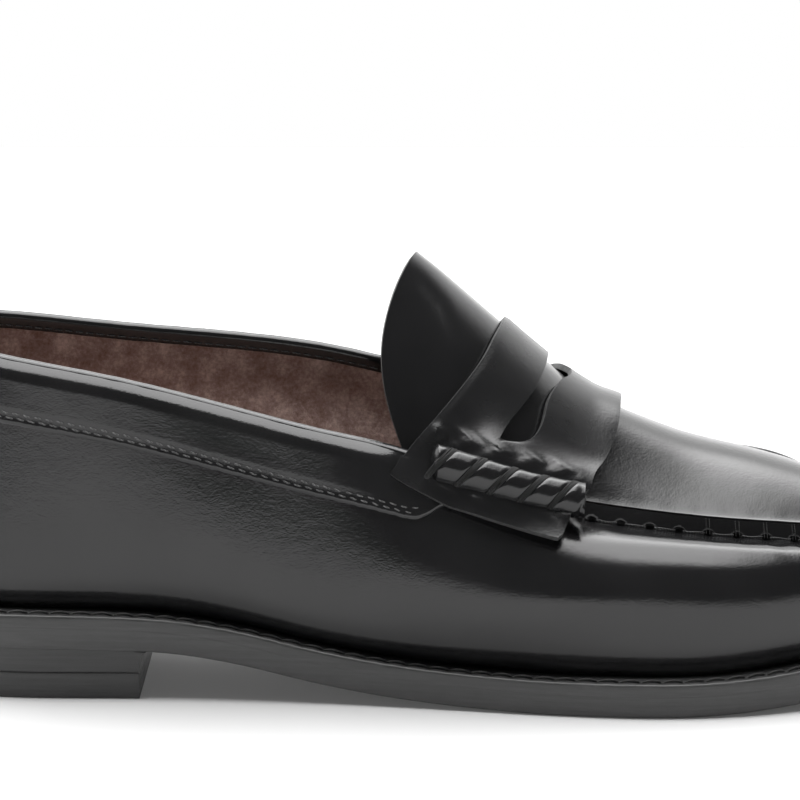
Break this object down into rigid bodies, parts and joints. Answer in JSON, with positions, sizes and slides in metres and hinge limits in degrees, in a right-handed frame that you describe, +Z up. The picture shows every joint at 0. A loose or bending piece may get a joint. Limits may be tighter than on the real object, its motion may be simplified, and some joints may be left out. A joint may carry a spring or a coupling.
{
  "type": "penny loafer",
  "caption": "Right slip-on loafer: moccasin upper with apron, slotted saddle strap, lashed beef rolls and tongue, suede lined, on a welted leather sole with a low heel.",
  "frame": {"origin": "on the ground under the middle of the shoe's length and width", "axes": "+X from heel to toe, +Y towards the inner (medial) side, +Z up"},
  "size_m": [0.297, 0.1029, 0.114],
  "materials": {
    "upper_leather": "high-gloss polished black leather with a fine grain",
    "thread": "waxed black thread",
    "suede": "brown suede, napped",
    "canvas": "plain woven lining",
    "sock_leather": "smooth brown leather",
    "fibre_board": "pressed fibre",
    "cork": "ground cork",
    "steel": "plain",
    "sole_leather": "black-dyed edge, satin",
    "rubber": "matt black"
  },
  "bodies": {
    "shoe": {"vamp_wall": "upper_leather", "plug": "upper_leather", "penny_strap": "upper_leather", "beefroll_lateral": "upper_leather", "beefroll_medial": "upper_leather", "collar_band": "upper_leather", "topline_binding": "upper_leather", "backstay": "upper_leather", "lashing_lateral": "thread", "lashing_medial": "thread", "collar_thread_upper": "thread", "collar_thread_lower": "thread", "welt_thread": "thread", "plug_thread": "thread", "quarter_lining": "suede", "vamp_lining": "canvas", "sock_liner": "sock_leather", "heel_counter": "fibre_board", "toe_puff": "fibre_board", "insole_board": "fibre_board", "cork_filler": "cork", "shank": "steel", "heel_nail_1": "steel", "heel_nail_2": "steel", "heel_nail_3": "steel", "heel_nail_4": "steel", "heel_nail_5": "steel", "welt": "sole_leather", "outsole": "sole_leather", "heel_base": "sole_leather", "top_lift": "rubber"},
    "tongue": {"tongue": "upper_leather"}
  },
  "joints": [
    {"name": "tongue_lift", "type": "hinge", "parent": "shoe", "child": "tongue", "pos_m": [0.0105, 0.0015, 0.088], "axis": [0, 1, 0], "range_deg": [0, 20], "stiffness_Nm_per_rad": 0.05}
  ]
}
